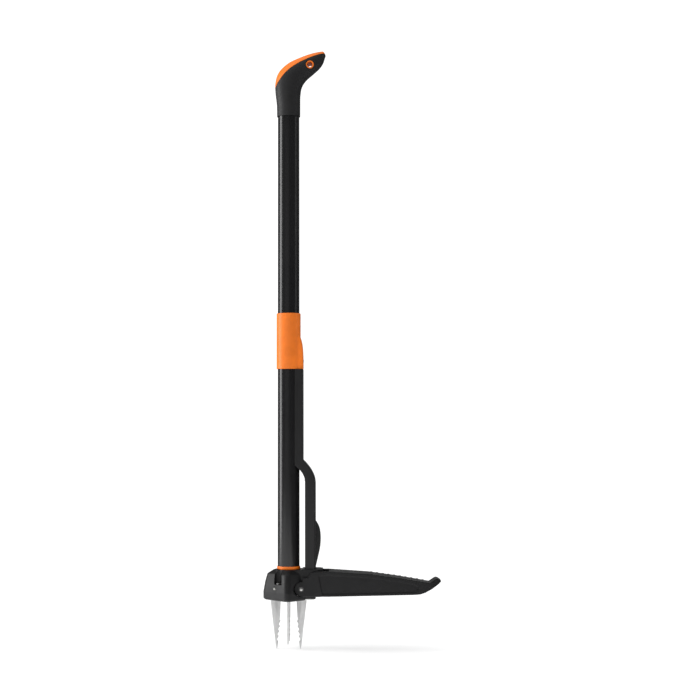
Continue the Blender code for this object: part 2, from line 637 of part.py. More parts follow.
def pedal_plan_outline(margin):
    """The pedal seen from above, drawn in by margin."""
    right = [(x, half - margin) for x, half in PEDAL_HALF_WIDTHS]
    return [(x, -y) for x, y in right] + [(x, y) for x, y in reversed(right)]


def pedal_body(look):
    """A channel open below, with a ribbed tread, recessed cheeks, round ears and a turned-up toe."""
    body = extruded("pedal", pedal_side_outline(), -0.03, 0.03, "y", look)
    plan = extruded("pedal_plan", pedal_plan_outline(0.0), -0.02, 0.08, "z")
    boolean(body, plan, "INTERSECT")
    under_tread = [(x, z - TREAD_THICKNESS) for x, z in (*PEDAL_TOP[-2:], *PEDAL_CURVE[1:3])]
    hollow = extruded("pedal_hollow", under_tread + [(0.2150, 0.0180), (0.2150, -0.01), (0.0660, -0.01)],
                      -0.03, 0.03, "y")
    inside_plan = extruded("pedal_inside_plan", pedal_plan_outline(EAR_OUTER - EAR_INNER), -0.03, 0.09, "z")
    boolean(hollow, inside_plan, "INTERSECT")
    for number, x in enumerate(PEDAL_WEBS):
        cut(hollow, block(f"pedal_web_{number}", (x, x + 0.0024), (-0.04, 0.04), (0.0110, 0.06)))
    recess = extruded("cheek_recess", CHEEK_RECESS, -0.04, 0.04, "y")
    core = extruded("cheek_core", pedal_plan_outline(CHEEK_DEPTH), -0.01, 0.09, "z")
    cut(recess, core)
    cut(body,
        hollow,
        block("guide_room", (-0.01, TREAD_START), (-EAR_INNER, EAR_INNER), (-0.01, 0.08)),
        recess,
        rod("ear_bore", (PIVOT_RADIUS, PIVOT_HEIGHT), AXLE_RADIUS + GAP, -0.04, 0.04, "y"))
    return body


def pedal_lever(label, side, look):
    """The arm inside the head that pushes the driver down; its hub turns in the head's wall."""
    pivot = Vector((PIVOT_RADIUS, PIVOT_HEIGHT))
    tip = Vector((0.0060, 0.0234))
    along = tip - pivot
    heading = math.atan2(along.y, along.x)
    tip_radius = 0.0024
    lean = math.acos((LEVER_HUB_RADIUS - tip_radius) / along.length)
    outline = circle(tip, tip_radius, 8, heading - lean, 2 * lean)
    outline += circle(pivot, LEVER_HUB_RADIUS, 16, heading + lean, 2 * math.pi - 2 * lean)
    arm = extruded(f"pedal_lever_{label}", outline, *sorted((side * 0.0152, side * 0.0180)), "y", look)
    centre = (PIVOT_RADIUS, PIVOT_HEIGHT)
    hub_span = sorted((side * 0.0165, side * 0.0213))
    join(arm, rod(f"lever_hub_{label}", centre, LEVER_HUB_RADIUS, *hub_span, "y", count=24))
    cut(arm, rod(f"lever_bore_{label}", centre, AXLE_RADIUS + GAP, -0.03, 0.03, "y"))
    return arm


# ---------------------------------------------------------------- ejector
def bar_ring(height):
    """The bar's channel section at one height: a web outside, two flanges towards the shaft."""
    face_rise = eased((height - FACE_BEND[0]) / (FACE_BEND[1] - FACE_BEND[0]))
    edge_rise = eased((height - EDGE_BEND[0]) / (EDGE_BEND[1] - EDGE_BEND[0]))
    face = BAR_LOW_FACE + (BAR_HIGH_FACE - BAR_LOW_FACE) * face_rise
    edge = BAR_LOW_EDGE + (BAR_HIGH_EDGE - BAR_LOW_EDGE) * edge_rise
    wide = BAR_HALF_WIDTH
    inside = wide - BAR_FLANGE
    half = [(edge, wide), (face - BAR_CHAMFER, wide), (face, wide - BAR_CHAMFER)]
    back = [(face - BAR_WEB, inside), (edge + EDGE_SLANT, inside)]
    points = half + [(x, -y) for x, y in reversed(half)]
    points += [(x, -y) for x, y in reversed(back)] + back
    return [(x, y, height) for x, y in points]


def ejector_bar(look):
    low, high = FACE_BEND
    bend = [low + (high - low) * i / BEND_STEPS for i in range(BEND_STEPS + 1)]
    heights = sorted([BAR_BOTTOM, *bend, *EDGE_BEND, BAR_TOP])
    bar = lofted("ejector_bar", [bar_ring(height) for height in heights], look)
    join(bar, block("bar_tongue", (TONGUE_INNER, TONGUE_OUTER), (-TONGUE_HALF_WIDTH, TONGUE_HALF_WIDTH),
                    (BAR_TOP - 0.0150, TONGUE_TOP)))
    cut(bar, rod("tongue_hole", (0, SLEEVE_SCREW_HEIGHT), 0.0018, 0.010, 0.030, "x"))
    for number, height in enumerate(FIN_RIVET_HEIGHTS):
        cut(bar, rod(f"fin_hole_in_bar_{number}", (0, height), FIN_HOLE_RADIUS, 0.038, 0.048, "x", count=12))
    for label, side in SIDES:
        cut(bar, rod(f"plate_hole_in_bar_{label}", (side * PLATE_RIVET_OFFSET, PLATE_RIVET_HEIGHT),
                     PLATE_HOLE_RADIUS, 0.038, 0.048, "x", count=16))
    return bar


def bar_fin(look):
    """The curved stop on the bar's outer face."""
    root = BAR_LOW_FACE + GAP
    outline = smooth_path(((root, 0.1290), (0.0490, 0.1225), (0.0518, 0.1145), (0.0530, 0.1020),
                           (0.0523, 0.0880), (0.0500, 0.0760), (0.0470, 0.0630), (root, 0.0545)), 2)
    fin = extruded("bar_fin", outline, -FIN_HALF_WIDTH, FIN_HALF_WIDTH, "y", look)
    for number, height in enumerate(FIN_RIVET_HEIGHTS):
        cut(fin, rod(f"fin_hole_{number}", (0, height), FIN_HOLE_RADIUS, 0.040, 0.0488, "x", count=12))
    return fin


def fin_rivet(label, height, look):
    face = BAR_LOW_FACE - BAR_WEB - GAP
    return pan_screw(f"fin_rivet_{label}", (face, 0, height), (1, 0, 0), 0.0011, 0.0022, 0.0013, 0.0060, look)


def ejector_plate(look):
    """The plate that pushes the weed off the claws, slotted round each claw and riveted to the bar."""
    plate = extruded("ejector_plate", rounded_square(0.0358, CAVITY_CORNER_RADIUS), 0.0, PLATE_THICKNESS,
                     "z", look)
    neck = 0.0090
    tab_outer = BAR_LOW_FACE - BAR_WEB - GAP
    join(plate,
         block("plate_neck", (0.0290, tab_outer), (-neck, neck), (0.0, PLATE_THICKNESS)),
         block("plate_tab", (PLATE_TAB_INNER, tab_outer), (-neck, neck), (0.0, 0.0230)))
    over = (-0.01, 0.01)
    cut(plate,
        block("slot_west", (-0.0310, -0.0052), (-CLAW_SLOT, CLAW_SLOT), over),
        block("slot_east", (0.0052, 0.0316), (-CLAW_SLOT, CLAW_SLOT), over))
    for label, side in SIDES:
        cut(plate,
            block(f"slot_{label}", (-CLAW_SLOT, CLAW_SLOT), sorted((side * 0.0052, side * 0.0310)), over),
            rod(f"tab_hole_{label}", (side * PLATE_RIVET_OFFSET, PLATE_RIVET_HEIGHT), PLATE_HOLE_RADIUS,
                0.03, 0.05, "x", count=16))
    return plate


def plate_rivet(label, side, look):
    origin = (PLATE_TAB_INNER - GAP, side * PLATE_RIVET_OFFSET, PLATE_RIVET_HEIGHT)
    return pan_screw(f"plate_rivet_{label}", origin, (1, 0, 0), 0.0016, 0.0030, 0.0016, 0.0051, look)


def ejector_sleeve(look):
    """The sliding hand sleeve, swollen on one side to take the bar's tongue."""
    round_edge = 0.0008
    profile = [(0, SLEEVE_BOTTOM), (SLEEVE_RADIUS - round_edge, SLEEVE_BOTTOM),
               (SLEEVE_RADIUS, SLEEVE_BOTTOM + round_edge), (SLEEVE_RADIUS, SLEEVE_TOP - round_edge),
               (SLEEVE_RADIUS - round_edge, SLEEVE_TOP), (0, SLEEVE_TOP)]
    sleeve = turned("ejector_sleeve", profile, look)
    swelling = [(x, SLEEVE_BOTTOM + rise) for x, rise in (
        (0.0100, 0.0002), (0.0248, 0.0002), (0.0248, 0.0140), (0.0243, 0.0270), (0.0230, 0.0380),
        (0.0208, 0.0470), (0.0175, 0.0530), (0.0100, 0.0530))]
    join(sleeve, extruded("sleeve_swelling", swelling, -0.0125, 0.0125, "y"))
    tongue_room = (TONGUE_OUTER + GAP, TONGUE_HALF_WIDTH + GAP, TONGUE_TOP + GAP)
    cut(sleeve,
        rod("sleeve_bore", (0, 0), SOCKET_RADIUS, SLEEVE_BOTTOM - 0.01, SLEEVE_TOP + 0.01, "z", count=40),
        block("tongue_room", (0.0150, tongue_room[0]), (-tongue_room[1], tongue_room[1]),
              (SLEEVE_BOTTOM - 0.01, tongue_room[2])),
        rod("sleeve_screw_bore", (0, SLEEVE_SCREW_HEIGHT), 0.0018, 0.020, 0.030, "x"),
        rod("sleeve_screw_recess", (0, SLEEVE_SCREW_HEIGHT), 0.0036, 0.0238, 0.030, "x"))
    return sleeve


def sleeve_screw(look):
    origin = (0.0241, 0, SLEEVE_SCREW_HEIGHT)
    return pan_screw("sleeve_screw", origin, (-1, 0, 0), 0.0015, 0.0033, 0.0012, 0.0037, look)


# ---------------------------------------------------------------- assembly
def build():
    for item in list(bpy.data.objects):
        bpy.data.objects.remove(item)
    tube_black = material("tube_black", (0.012, 0.012, 0.013), 0.28)
    grip_black = material("grip_black", (0.016, 0.016, 0.017), 0.55)
    head_black = material("head_black", (0.020, 0.020, 0.022), 0.50)
    bar_black = material("bar_black", (0.024, 0.024, 0.026), 0.42)
    pedal_black = material("pedal_black", (0.018, 0.018, 0.019), 0.52)
    orange = material("orange", (0.86, 0.23, 0.035), 0.42)
    claw_steel = material("claw_steel", (0.56, 0.57, 0.58), 0.36, 1.0)
    zinc_steel = material("zinc_steel", (0.50, 0.50, 0.49), 0.38, 1.0)
    spring_steel = material("spring_steel", (0.35, 0.35, 0.35), 0.35, 1.0)
    nylon = material("nylon", (0.10, 0.10, 0.10), 0.55)

    shaft_tube(tube_black)
    shaft_plug(nylon)
    handle_grip(grip_black)
    handle_cap(orange)
    hang_grommet(orange)
    handle_rivet(zinc_steel)
    base_ring(orange)

    head_housing(head_black)
    head_base_plate(zinc_steel)
    centre_bolt(zinc_steel)
    return_spring(spring_steel)
    claw_driver(nylon)

    claw("claw_east", 0.0, LONG_CLAW, claw_steel)
    claw("claw_north", math.radians(90), SHORT_CLAW, claw_steel)
    claw("claw_west", math.radians(180), LONG_CLAW, claw_steel)
    claw("claw_south", math.radians(270), SHORT_CLAW, claw_steel)
    pin("west_pin", (-PIVOT_RADIUS, 0, PIVOT_HEIGHT), PIN_RADIUS, 0.0227, "y", zinc_steel)
    pin("north_pin", (0, PIVOT_RADIUS, PIVOT_HEIGHT), SHORT_PIN_RADIUS, 0.0070, "x", zinc_steel)
    pin("south_pin", (0, -PIVOT_RADIUS, PIVOT_HEIGHT), SHORT_PIN_RADIUS, 0.0070, "x", zinc_steel)
    pedal_axle(zinc_steel)
    axle_clip(spring_steel)

    pedal_body(pedal_black)
    for label, side in SIDES:
        head_screw(label, side, spring_steel)
        axle_washer(label, side, nylon)
        pedal_lever(label, side, zinc_steel)
        spacer(f"west_spacer_{label}", -PIVOT_RADIUS, side, PIN_RADIUS, 0.0125, nylon)
        spacer(f"east_spacer_{label}", PIVOT_RADIUS, side, AXLE_RADIUS, 0.0149, nylon)
        plate_rivet(label, side, zinc_steel)

    ejector_bar(bar_black)
    bar_fin(bar_black)
    fin_rivet("upper", FIN_RIVET_HEIGHTS[0], zinc_steel)
    fin_rivet("lower", FIN_RIVET_HEIGHTS[1], zinc_steel)
    ejector_plate(zinc_steel)
    ejector_sleeve(orange)
    sleeve_screw(zinc_steel)


build()
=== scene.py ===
import math

import bmesh
import bpy
from mathutils import Matrix, Vector


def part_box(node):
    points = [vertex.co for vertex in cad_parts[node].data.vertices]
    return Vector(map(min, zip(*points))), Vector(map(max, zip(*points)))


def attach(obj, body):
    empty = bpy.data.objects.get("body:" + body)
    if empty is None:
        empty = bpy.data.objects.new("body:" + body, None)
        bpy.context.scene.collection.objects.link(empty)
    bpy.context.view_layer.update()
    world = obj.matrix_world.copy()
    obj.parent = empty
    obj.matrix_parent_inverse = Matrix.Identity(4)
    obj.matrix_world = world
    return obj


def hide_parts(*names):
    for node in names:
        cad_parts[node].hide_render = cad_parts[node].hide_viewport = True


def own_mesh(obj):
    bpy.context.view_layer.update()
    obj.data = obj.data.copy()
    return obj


# The looks of a stand up weeder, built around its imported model.
# Metres unless a comment says mm, +Z up, the pedal towards +X, the shaft's axis on Z.
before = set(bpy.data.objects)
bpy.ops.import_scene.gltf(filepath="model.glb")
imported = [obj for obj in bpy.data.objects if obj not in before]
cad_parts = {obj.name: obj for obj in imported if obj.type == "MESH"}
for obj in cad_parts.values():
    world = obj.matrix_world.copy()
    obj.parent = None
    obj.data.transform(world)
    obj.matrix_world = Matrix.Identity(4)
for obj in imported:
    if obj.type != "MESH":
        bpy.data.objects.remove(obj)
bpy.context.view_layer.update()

MM = 0.001
WELD, CAD_WELD = 1e-7, 1e-6       # points closer than this are one
FLAT_ANGLE = 1.0                  # degrees; faces of the CAD closer than this are one face
SHARP_ANGLE = 38                  # degrees; edges sharper than this aren't shaded smooth
collection = bpy.context.scene.collection

# ---------------------------------------------------------------- sizes of camera and studio
LENS, SENSOR = 77.31, 36          # mm
SHIFT = (0.0876, -0.0553)
CAMERA_DISTANCE, CAMERA_HEIGHT = 2.5, 0.30
CAMERA_TURN = math.radians(3)     # round the shaft, towards the pedal's side
CAMERA_TILT = math.radians(94)    # 90 is level, more looks up

MIDDLE = (0, 0, 0.45)
LIGHTS = (                        # name, place, target, width, height, radiance
    ("left_strip", (-1.7, 0.0, 0.45), MIDDLE, 0.80, 2.4, 5.0),
    ("right_strip", (1.7, -0.08, 0.45), MIDDLE, 0.25, 2.4, 1.0),
    ("front_box", (-0.9, -3.2, 0.6), MIDDLE, 2.6, 2.4, 0.20),
    ("back_box", (0.5, 3.2, 0.6), MIDDLE, 2.6, 2.4, 0.30),
    ("top_box", (-0.5, -0.4, 2.4), (0, 0, 0), 2.4, 2.4, 0.6),
)
ROOM_SEEN = 1.16                  # radiance of the room behind the tool
ROOM_LEFT, ROOM_RIGHT = 1.62, 0.62    # radiance that reaches matt surfaces from each side
ROOM_MIRRORED = 0.05              # radiance that glossy surfaces mirror
FLOOR_X, FLOOR_Y = (-1.1, 0.45), (-1.1, 0.4)
FLOOR_GAP = 0.2 * MM              # below the claws' tips

# ---------------------------------------------------------------- sizes of the pieces
TUBE_WALL, TUBE_LIP = 1.6 * MM, 0.5 * MM
BORE_PLAY = 0.2 * MM              # between the tube or the eyelet and the handle

RING_PLAY = 0.15 * MM
RING_BULGE = 0.5 * MM
RING_BELT = (-1.0 * MM, 0.9 * MM)     # where the ring is widest, from its middle
RING_ROUNDING = 0.9 * MM

SLEEVE_PLAY = 0.3 * MM            # between the sleeve and the tube, and above the bar's tongue
SLEEVE_EDGE = 0.9 * MM            # radius of its upper and lower edge
SLEEVE_COUNT, SLEEVE_STEPS = 144, 66
SWELLING_FOOT, SWELLING_END = 24.7 * MM, 17.0 * MM    # reach along +X below, and where it has faded
SWELLING_HEIGHT = 0.0545
SWELLING_FADE = 3.2               # exponent; more keeps its reach for longer
SWELLING_HALF_WIDTH = 12.4 * MM
SWELLING_SQUARENESS = 7.0         # exponent; more is closer to a box
SWELLING_BLEND = 0.0011           # softness of the join with the tube
SWELLING_SIDE = 0.05              # least cosine of the angle from +X that it reaches
TONGUE_ROOM_X, TONGUE_ROOM_Y = (15 * MM, 23.1 * MM), (-9.3 * MM, 9.3 * MM)
CUT_PAST = 10 * MM                # length of a cutter past the face that it cuts
RECESS_RADIUS, RECESS_X = 3.6 * MM, 23.6 * MM
HOLE_RADIUS, HOLE_X = 1.8 * MM, 19 * MM

# Back and front edge of the handle in the XZ plane and its half width in Y, shaft to nose (mm).
HANDLE_BACK = ((-19.5, 802.5), (-19.9, 822.5), (-22.2, 843.0), (-22.4, 860.0), (-16.9, 877.6),
               (-1.4, 893.0), (19.3, 903.0), (40.0, 910.0), (55.5, 912.8))
HANDLE_FRONT = ((19.5, 802.5), (19.6, 822.5), (19.9, 838.0), (22.5, 852.5), (29.6, 863.8),
                (41.5, 874.3), (52.2, 884.0), (58.5, 893.5), (61.6, 903.5))
HANDLE_HALF_WIDTH = (19.5, 19.7, 20.5, 21.0, 20.5, 19.5, 17.8, 15.0, 11.0)
HANDLE_COUNT, HANDLE_STEPS = 72, 7
# Rings past the last one: how far ahead (mm) and how large.
NOSE_ROUNDING = ((0.7, 0.955), (1.3, 0.88), (1.9, 0.77), (2.3, 0.63), (2.5, 0.46), (2.6, 0.25))
# Seam between the grip and its cap in the XZ plane (mm).
CAP_SEAM = ((-30.0, 839.1), (-23.0, 850.1), (-17.3, 859.0), (-7.0, 872.1), (3.3, 881.6),
            (18.8, 891.6), (34.2, 899.1), (49.8, 905.1), (70.0, 910.1))
SEAM_STEPS = 6
SEAM_GAP = (-0.1 * MM, 0.2 * MM)      # what the grip and the cap stay away from the seam
TUBE_END_PLAY = 0.3 * MM
BELOW_HANDLE, ABOVE_HANDLE = 0.78, 0.95       # heights that are clear of the handle
BESIDE_HANDLE = 0.04                          # in Y, clear of the handle
EYELET_BORE, EYELET_ROUNDING = 4.6 * MM, 1.0 * MM

# Moulded pieces: size of a voxel, smoothing rounds and the share of triangles kept.
GRIP_SKIN = (0.5 * MM, 3, 0.5)
CAP_SKIN = (0.45 * MM, 3, 0.5)
HEAD_SKIN = (0.5 * MM, 3, 0.4)
PEDAL_SKIN = (0.55 * MM, 3, 0.4)
BAR_SKIN = (0.55 * MM, 4, 0.35)

# Rounding of the edges of pieces that aren't one moulding: width and segments.
SLEEVE_EASE, FIN_EASE, CLAW_EASE = (0.25 * MM, 2), (0.7 * MM, 4), (0.22 * MM, 2)
STEEL_EASE, CLIP_EASE = (0.18 * MM, 2), (0.15 * MM, 2)

HEAD_SCREW_CROWN, SLEEVE_SCREW_CROWN = 2.6 * MM, 1.2 * MM
SHANK_LENGTH, SHANK_SHARE = 6 * MM, 0.42      # of a screw, the second as a share of its radius
RIM_SHARE = 0.45                              # height of a screw head's straight rim in its crown
RECESS_SIZE, RECESS_DEPTH = 0.55, 0.65        # of the cross, in radius and crown
RECESS_ARM = 0.22                             # width of a cross bar, in its length
RECESS_FLARE = (0.55, 1.1)                    # scale of the cross at its floor and mouth
RECESS_RISE = 1.0 * MM                        # of the cutter's mouth above the crown

SPRING_WIRE = 0.7 * MM                        # radius
SPRING_TURNS, SPRING_STEPS, WIRE_SIDES = 4, 36, 12


# ---------------------------------------------------------------- camera, light and floor
def make_camera():
    """A long lens below the middle of the tool, tilted up a little."""
    data = bpy.data.cameras.new("camera")
    data.sensor_width = SENSOR
    data.lens = LENS
    data.shift_x, data.shift_y = SHIFT
    camera = bpy.data.objects.new("camera", data)
    camera.location = (CAMERA_DISTANCE * math.sin(CAMERA_TURN),
                       -CAMERA_DISTANCE * math.cos(CAMERA_TURN), CAMERA_HEIGHT)
    camera.rotation_euler = (CAMERA_TILT, 0, CAMERA_TURN)
    collection.objects.link(camera)
    bpy.context.scene.camera = camera


def softbox(name, place, target, width, height, radiance):
    """An area light of even radiance, pointing at target, that the camera doesn't see."""
    data = bpy.data.lights.new(name, "AREA")
    data.shape = "RECTANGLE"
    data.size = width
    data.size_y = height
    data.energy = radiance * math.pi * width * height
    box = bpy.data.objects.new(name, data)
    box.location = place
    facing = (Vector(target) - Vector(place)).to_track_quat("-Z", "Y")
    box.rotation_euler = facing.to_euler()
    box.visible_camera = False
    collection.objects.link(box)


def studio_world():
    """A white room: brighter from the left on matt surfaces, dim where a glossy one mirrors it."""
    world = bpy.data.worlds.new("studio")
    bpy.context.scene.world = world
    world.use_nodes = True
    nodes = world.node_tree.nodes
    links = world.node_tree.links
    path = nodes.new("ShaderNodeLightPath")
    direction = nodes.new("ShaderNodeSeparateXYZ")
    links.new(nodes.new("ShaderNodeTexCoord").outputs["Generated"], direction.inputs["Vector"])
    sideways = nodes.new("ShaderNodeMapRange")
    for socket, value in (("From Min", -1.0), ("From Max", 1.0),
                          ("To Min", ROOM_LEFT), ("To Max", ROOM_RIGHT)):
        sideways.inputs[socket].default_value = value
    links.new(direction.outputs["X"], sideways.inputs["Value"])
    room = nodes.new("ShaderNodeMix")
    room.inputs["A"].default_value = ROOM_SEEN
    links.new(path.outputs["Is Diffuse Ray"], room.inputs["Factor"])
    links.new(sideways.outputs["Result"], room.inputs["B"])
    level = nodes.new("ShaderNodeMix")
    level.inputs["B"].default_value = ROOM_MIRRORED
    links.new(path.outputs["Is Glossy Ray"], level.inputs["Factor"])
    links.new(room.outputs["Result"], level.inputs["A"])
    links.new(level.outputs["Result"], nodes["Background"].inputs["Strength"])
    nodes["Background"].inputs["Color"].default_value = (1, 1, 1, 1)


def make_floor():
    """A sheet of white paper just below the claws' tips."""
    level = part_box("claw_west")[0].z - FLOOR_GAP
    (left, right), (front, back) = FLOOR_X, FLOOR_Y
    corners = ((left, front), (right, front), (right, back), (left, back))
    mesh = bpy.data.meshes.new("floor")
    mesh.from_pydata([(x, y, level) for x, y in corners], [], [(0, 1, 2, 3)])
    mesh.materials.append(floor_paint())
    floor = bpy.data.objects.new("floor", mesh)
    collection.objects.link(floor)


def make_studio():
    studio_world()
    for light in LIGHTS:
        softbox(*light)
    make_floor()
    bpy.context.scene.view_settings.view_transform = "Standard"


# ---------------------------------------------------------------- materials
class Nodes:
    """Short ways to add and join the nodes of one material."""

    def __init__(self, name):
        self.material = bpy.data.materials.new(name)
        self.material.use_nodes = True
        self.tree = self.material.node_tree
        self.shader = self.tree.nodes["Principled BSDF"]
        self.place = self.add("TexCoord").outputs["Object"]

    def add(self, kind, **settings):
        node = self.tree.nodes.new("ShaderNode" + kind)
        for key, value in settings.items():
            setattr(node, key, value)
        return node

    def join(self, socket, value):
        """Feeds a socket from another node's output, or sets it to a number or colour."""
        if isinstance(value, bpy.types.NodeSocket):
            self.tree.links.new(value, socket)
        else:
            socket.default_value = value

    def stretched(self, scale):
        """Object coordinates scaled along each axis."""
        mapping = self.add("Mapping")
        self.join(mapping.inputs["Scale"], scale)
        self.join(mapping.inputs["Vector"], self.place)
        return mapping.outputs["Vector"]

    def noise(self, scale, detail, roughness, vector=None):
        noise = self.add("TexNoise")
        for key, value in (("Scale", scale), ("Detail", detail), ("Roughness", roughness),
                           ("Vector", vector or self.place)):
            self.join(noise.inputs[key], value)
        return noise.outputs["Fac"]

    def ranged(self, value, source, target=(0.0, 1.0)):
        """Maps the source range of a value to the target range, and holds it there outside."""
        node = self.add("MapRange")
        for key, number in zip(("From Min", "From Max", "To Min", "To Max"), (*source, *target)):
            self.join(node.inputs[key], number)
        self.join(node.inputs["Value"], value)
        return node.outputs["Result"]

    def mixed(self, factor, first, second):
        """Colour mix; each of first and second is a colour or an output."""
        node = self.add("Mix", data_type="RGBA")
        self.join(node.inputs["Factor"], factor)
        for key, value in (("A", first), ("B", second)):
            self.join(node.inputs[key], (*value, 1.0) if isinstance(value, tuple) else value)
        return node.outputs["Result"]

    def maths(self, operation, first, second):
        node = self.add("Math", operation=operation)
        self.join(node.inputs[0], first)
        self.join(node.inputs[1], second)
        return node.outputs["Value"]

    def bump(self, height, distance, strength, under=None):
        """A normal from a height, on top of the normal of the layer under it."""
        node = self.add("Bump")
        self.join(node.inputs["Distance"], distance)
        self.join(node.inputs["Strength"], strength)
        self.join(node.inputs["Height"], height)
        if under is not None:
            self.join(node.inputs["Normal"], under)
        return node.outputs["Normal"]

    def edges(self, source):
        """0 on flats, 1 on convex edges."""
        return self.ranged(self.add("NewGeometry").outputs["Pointiness"], source)

    def done(self, colour, roughness, normal, **constants):
        """Joins the layers to the shader; constants are its sockets' own values."""
        for key, output in (("Base Color", colour), ("Roughness", roughness), ("Normal", normal)):
            self.join(self.shader.inputs[key], output)
        for key, value in constants.items():
            self.join(self.shader.inputs[key.replace("_", " ")], value)
        return self.material


def tinted(colour, factor):
    return tuple(min(1.0, channel * factor) for channel in colour)


def moulded_plastic(name, colour, roughness, grain, wear, specular):
    """Plastic with a fine spark-eroded grain, faint flow marks, paler worn edges and scuffs."""
    n = Nodes(name)
    flow = n.ranged(n.noise(22.0, 4.0, 0.6), (0.35, 0.65))
    body = n.mixed(flow, tinted(colour, 0.88), tinted(colour, 1.12))
    patches = n.ranged(n.noise(180.0, 5.0, 0.7), (0.42, 0.66), (0.0, wear))
    rubbed = n.maths("MULTIPLY", n.edges((0.52, 0.62)), patches)
    pale = tuple(channel * 0.55 + 0.10 for channel in colour)
    scuffs = n.ranged(n.noise(1.0, 2.0, 0.6, n.stretched((260.0, 260.0, 30.0))), (0.66, 0.74))
    shine = n.ranged(n.noise(70.0, 4.0, 0.6), (0.3, 0.7), (roughness - 0.05, roughness + 0.06))
    shine = n.maths("ADD", shine, n.maths("MULTIPLY", scuffs, 0.05))
    fine = n.bump(n.noise(2600.0, 2.0, 0.6), 0.05 * MM, grain)
    normal = n.bump(scuffs, -0.01 * MM, 0.3, fine)
    return n.done(n.mixed(rubbed, body, pale), shine, normal, Specular_IOR_Level=specular)


def coated_tube(name, colour):
    """Satin powder coat: orange peel, faint lengthwise rub marks and a few duller patches."""
    n = Nodes(name)
    patches = n.ranged(n.noise(14.0, 4.0, 0.6), (0.35, 0.65))
    body = n.mixed(patches, tinted(colour, 0.85), tinted(colour, 1.2))
    rub = n.noise(1.0, 3.0, 0.7, n.stretched((900.0, 900.0, 6.0)))
    shine = n.ranged(rub, (0.3, 0.7), (0.19, 0.24))
    peel = n.bump(n.noise(420.0, 2.0, 0.5), 0.01 * MM, 0.15)
    normal = n.bump(rub, 0.003 * MM, 0.15, peel)
    return n.done(body, shine, normal, Specular_IOR_Level=0.5)


def brushed_steel(name, colour, roughness):
    """Ground stainless steel with lengthwise brush lines and a soft cloudy sheen."""
    n = Nodes(name)
    lines = n.noise(1.0, 4.0, 0.7, n.stretched((3200.0, 3200.0, 45.0)))
    cloud = n.noise(55.0, 3.0, 0.5)
    body = n.mixed(n.ranged(lines, (0.3, 0.7)), tinted(colour, 0.90), tinted(colour, 1.06))
    body = n.mixed(n.ranged(cloud, (0.35, 0.7), (0.0, 0.35)), body, tinted(colour, 0.82))
    shine = n.maths("ADD", n.ranged(lines, (0.25, 0.75), (roughness - 0.06, roughness + 0.08)),
                    n.ranged(cloud, (0.3, 0.7), (-0.02, 0.04)))
    return n.done(body, shine, n.bump(lines, 0.012 * MM, 0.35), Metallic=1.0)


def zinc_plate(name, colour, roughness):
    """Zinc plating: mottled grey with a faint warm cast."""
    n = Nodes(name)
    spots = n.noise(420.0, 5.0, 0.65)
    cast = n.ranged(n.noise(60.0, 2.0, 0.5), (0.4, 0.7), (0.0, 0.5))
    body = n.mixed(n.ranged(spots, (0.35, 0.65)), tinted(colour, 0.84), tinted(colour, 1.06))
    warm = (colour[0] * 1.02, colour[1] * 0.97, colour[2] * 0.86)
    shine = n.ranged(spots, (0.3, 0.7), (roughness - 0.07, roughness + 0.10))
    return n.done(n.mixed(cast, body, warm), shine, n.bump(spots, 0.02 * MM, 0.3), Metallic=1.0)


def floor_paint():
    """Matt white paper with a barely visible tooth."""
    n = Nodes("floor_paper")
    tooth = n.noise(500.0, 3.0, 0.6)
    body = n.mixed(n.ranged(tooth, (0.3, 0.7)), (0.90, 0.90, 0.90), (0.93, 0.93, 0.93))
    return n.done(body, n.ranged(tooth, (0.3, 0.7), (0.85, 0.95)), n.bump(tooth, 0.05 * MM, 0.2))


def make_looks():
    """One material for each of the record's slots, under the slot's name."""
    return {
        "tube_black": coated_tube("tube_black_coat", (0.0075, 0.0075, 0.0080)),
        "grip_black": moulded_plastic(
            "grip_black_plastic", (0.013, 0.013, 0.014), 0.52, grain=0.6, wear=0.20, specular=0.40),
        "head_black": moulded_plastic(
            "head_black_plastic", (0.010, 0.010, 0.0105), 0.40, grain=0.6, wear=0.28,
            specular=0.26),
        "bar_black": moulded_plastic(
            "bar_black_plastic", (0.0115, 0.0115, 0.012), 0.40, grain=0.5, wear=0.22,
            specular=0.38),
        "pedal_black": moulded_plastic(
            "pedal_black_plastic", (0.0080, 0.0080, 0.0085), 0.46, grain=0.7, wear=0.28,
            specular=0.28),
        "orange_trim": moulded_plastic(
            "orange_plastic", (0.67, 0.143, 0.005), 0.40, grain=0.35, wear=0.12, specular=0.35),
        "claw_steel": brushed_steel("claw_brushed_steel", (0.66, 0.66, 0.66), 0.42),
        "zinc_steel": zinc_plate("zinc_plated_steel", (0.66, 0.66, 0.65), 0.36),
        "spring_steel": zinc_plate("oiled_spring_steel", (0.30, 0.30, 0.30), 0.34),
        # Dark nylon for the hidden pieces and the axle washers; on the front washer its darkness is
        # painted shade, the ring of shadow round the axle's head
        "nylon": moulded_plastic(
            "dark_nylon_and_painted_shade", (0.05, 0.05, 0.05), 0.5, grain=0.4, wear=0.1, specular=0.4),
    }


# ---------------------------------------------------------------- mesh helpers
def to_mesh(bm, name):
    mesh = bpy.data.meshes.new(name)
    bm.to_mesh(mesh)
    bm.free()
    return shaded(mesh, SHARP_ANGLE)


def shaded(mesh, sharp):
    """Smooth shading, apart from edges sharper than an angle in degrees."""
    mesh.shade_smooth()
    mesh.set_sharp_from_angle(angle=math.radians(sharp))
    return mesh


def circle(count):
    """The angles of count points round a circle."""
    return [2 * math.pi * i / count for i in range(count)]


